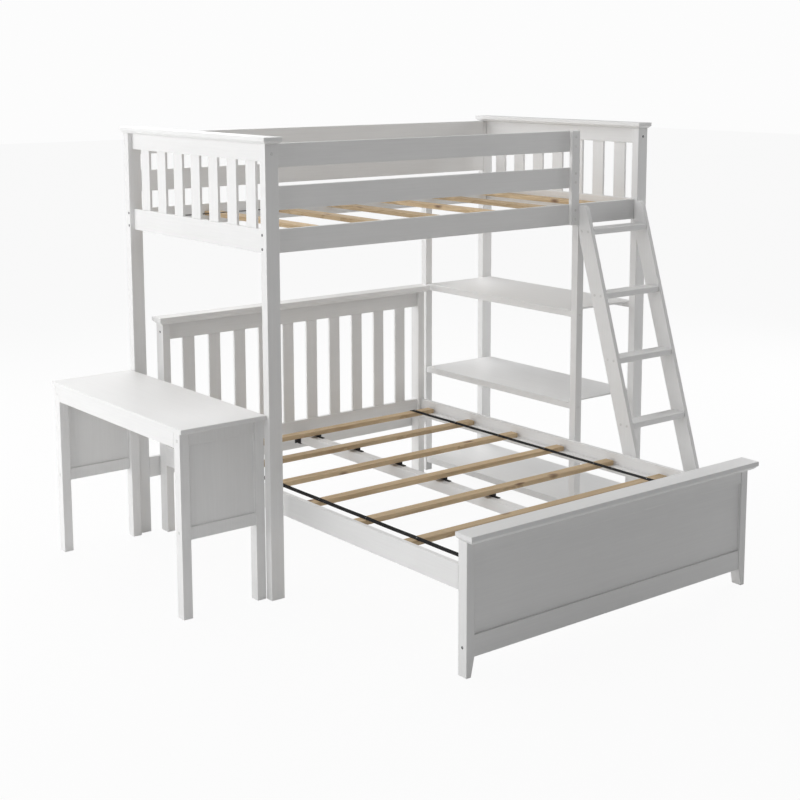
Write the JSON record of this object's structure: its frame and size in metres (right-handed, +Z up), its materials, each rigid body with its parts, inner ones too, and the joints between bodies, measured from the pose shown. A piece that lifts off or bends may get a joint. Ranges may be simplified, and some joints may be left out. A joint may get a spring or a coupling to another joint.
{
  "type": "loft bed with desk",
  "caption": "Painted wooden loft bed with guard rails, a leaning ladder and a bookcase end, a loose framed desk beside it and a low full-size bed standing across below.",
  "frame": {"origin": "on the floor, under the middle of the whole set's bounding box", "axes": "+X runs along the loft from the desk to the bookcase end, +Y from the footboard towards the headboard and the loft's back, +Z up"},
  "size_m": [2.425, 2.1606, 1.77],
  "materials": {
    "white_paint": "satin white paint over solid wood",
    "slat_pine": "bare sawn pine",
    "black_tape": "woven polyester tape",
    "dark_steel": "blackened steel bolt and bracket"
  },
  "bodies": {
    "loft": {"back_stretcher": "white_paint", "bookcase_post_back": "white_paint", "bookcase_post_front": "white_paint", "far_end_cap": "white_paint", "far_end_panel": "white_paint", "guard_rail_back_lower": "white_paint", "guard_rail_back_upper": "white_paint", "guard_rail_end_post": "white_paint", "guard_rail_front_lower": "white_paint", "guard_rail_front_upper": "white_paint", "ladder_rail_left": "white_paint", "ladder_rail_right": "white_paint", "ladder_tread_1": "white_paint", "ladder_tread_2": "white_paint", "ladder_tread_3": "white_paint", "ladder_tread_4": "white_paint", "ladder_tread_5": "white_paint", "loft_post_far_back": "white_paint", "loft_post_far_front": "white_paint", "loft_post_near_back": "white_paint", "loft_post_near_front": "white_paint", "loft_side_rail_back": "white_paint", "loft_side_rail_front": "white_paint", "loft_slat_cleat_back": "white_paint", "loft_slat_cleat_front": "white_paint", "loft_slat_roll": "slat_pine", "near_end_cap": "white_paint", "near_end_panel": "white_paint", "shelf_bottom": "white_paint", "shelf_middle": "white_paint", "shelf_top": "white_paint"},
    "full_bed": {"center_beam": "white_paint", "footboard_cap": "white_paint", "footboard_panel": "white_paint", "footboard_post_left": "white_paint", "footboard_post_right": "white_paint", "full_side_rail_left": "white_paint", "full_side_rail_right": "white_paint", "full_slat_1": "slat_pine", "full_slat_2": "slat_pine", "full_slat_3": "slat_pine", "full_slat_4": "slat_pine", "full_slat_5": "slat_pine", "full_slat_6": "slat_pine", "full_slat_7": "slat_pine", "full_slat_cleat_left": "white_paint", "full_slat_cleat_right": "white_paint", "headboard_cap": "white_paint", "headboard_panel": "white_paint", "headboard_post_left": "white_paint", "headboard_post_right": "white_paint"},
    "desk": {"desk_apron_left": "white_paint", "desk_apron_right": "white_paint", "desk_end_panel_back": "white_paint", "desk_end_panel_front": "white_paint", "desk_leg_left_back": "white_paint", "desk_leg_left_front": "white_paint", "desk_leg_right_back": "white_paint", "desk_leg_right_front": "white_paint", "desk_top": "white_paint"}
  },
  "joints": [
    {"name": "full_bed_slide", "type": "slide", "parent": "loft", "child": "full_bed", "axis": [0, -1, 0], "range_m": [0, 1.2]},
    {"name": "desk_slide", "type": "slide", "parent": "loft", "child": "desk", "axis": [-1, 0, 0], "range_m": [0, 0.6]}
  ]
}
